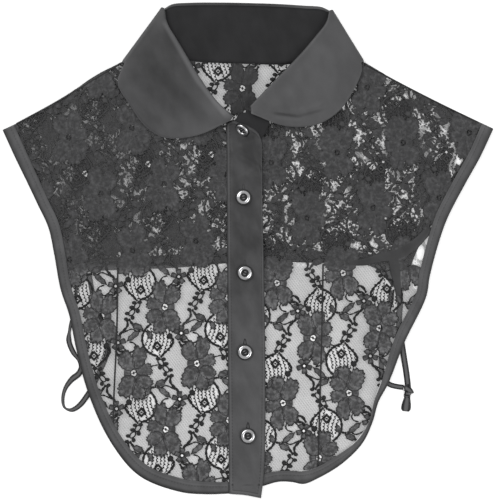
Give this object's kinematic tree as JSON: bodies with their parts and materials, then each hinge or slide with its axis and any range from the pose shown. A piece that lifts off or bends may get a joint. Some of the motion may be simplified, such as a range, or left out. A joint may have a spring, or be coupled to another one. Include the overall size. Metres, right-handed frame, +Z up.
{
  "type": "detachable peter pan collar",
  "caption": "Sleeveless black lace bib with a satin peter pan collar, a buttoned placket and ribbon side ties, laid flat to be worn under a jumper.",
  "frame": {"origin": "middle of the whole piece's outline in plan, on the surface that it lies on", "axes": "+X to the wearer's left, which is the right of the piece seen from the front; +Y from the hem to the neck; +Z up from the surface, out of the front"},
  "size_m": [0.402, 0.4062, 0.0163],
  "materials": {
    "lace": "matte openwork lace",
    "satin": "soft satin",
    "ribbon": "glossy satin ribbon",
    "button": "polished metal rim, dark centre"
  },
  "bodies": {
    "root": {"back_yoke": "lace", "front_left": "lace", "front_right": "lace", "back_binding_left": "satin", "back_binding_right": "satin", "back_hem_binding": "satin", "binding_left": "satin", "binding_right": "satin", "placket_top": "satin", "placket_under": "satin", "collar_fall": "satin", "neck_band": "satin", "button_1": "button", "button_2": "button", "button_3": "button", "button_4": "button", "button_5": "button", "tie_left": "ribbon", "tie_right_outer": "ribbon", "tie_right_inner": "ribbon", "tie_right_tail": "ribbon", "knot_right": "ribbon"}
  },
  "joints": []
}
